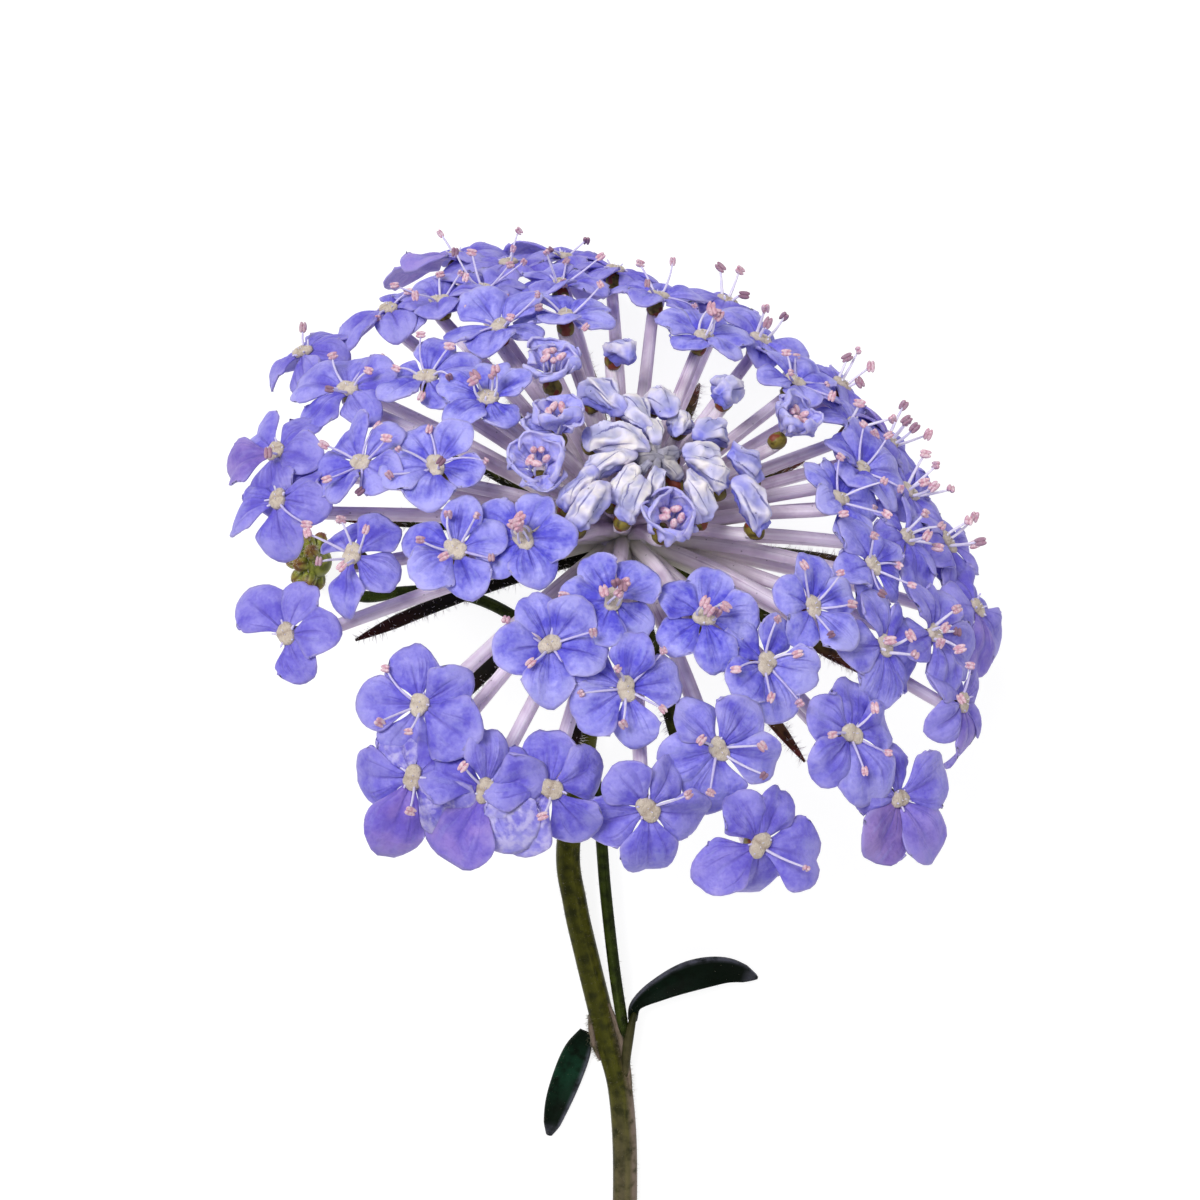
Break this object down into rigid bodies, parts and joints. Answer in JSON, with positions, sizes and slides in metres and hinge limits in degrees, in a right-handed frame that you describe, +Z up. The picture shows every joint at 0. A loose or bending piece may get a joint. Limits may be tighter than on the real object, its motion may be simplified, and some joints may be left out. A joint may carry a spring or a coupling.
{
  "type": "blue lace flower",
  "caption": "Cut umbel of small pale blue five-petalled florets round a rosette of closed buds, on a bent leafy stem with a thinner side stem, lying on its side.",
  "frame": {"origin": "centre of the footprint on the surface on which the flower lies", "axes": "+Y along the stem towards the head, +X to the right of the stem seen from above, +Z up from the surface"},
  "size_m": [0.0621, 0.1189, 0.0404],
  "materials": {
    "petals": "soft matt lilac-blue petal",
    "pedicels": "satin lilac-grey stalk and pale bud",
    "bracts": "dull dark green with fine hairs",
    "main_stem": "satin dark olive with fine hairs",
    "side_stem": "satin dark green with fine hairs",
    "young_buds": "dull green buds with reddish tips",
    "leaves": "satin dark green leaf"
  },
  "bodies": {
    "root": {"corollas": "petals", "pedicels_and_buds": "pedicels", "involucre": "bracts", "main_stem": "main_stem", "side_stem": "side_stem", "young_umbel": "young_buds", "leaf_right": "leaves", "leaf_left": "leaves"}
  },
  "joints": []
}
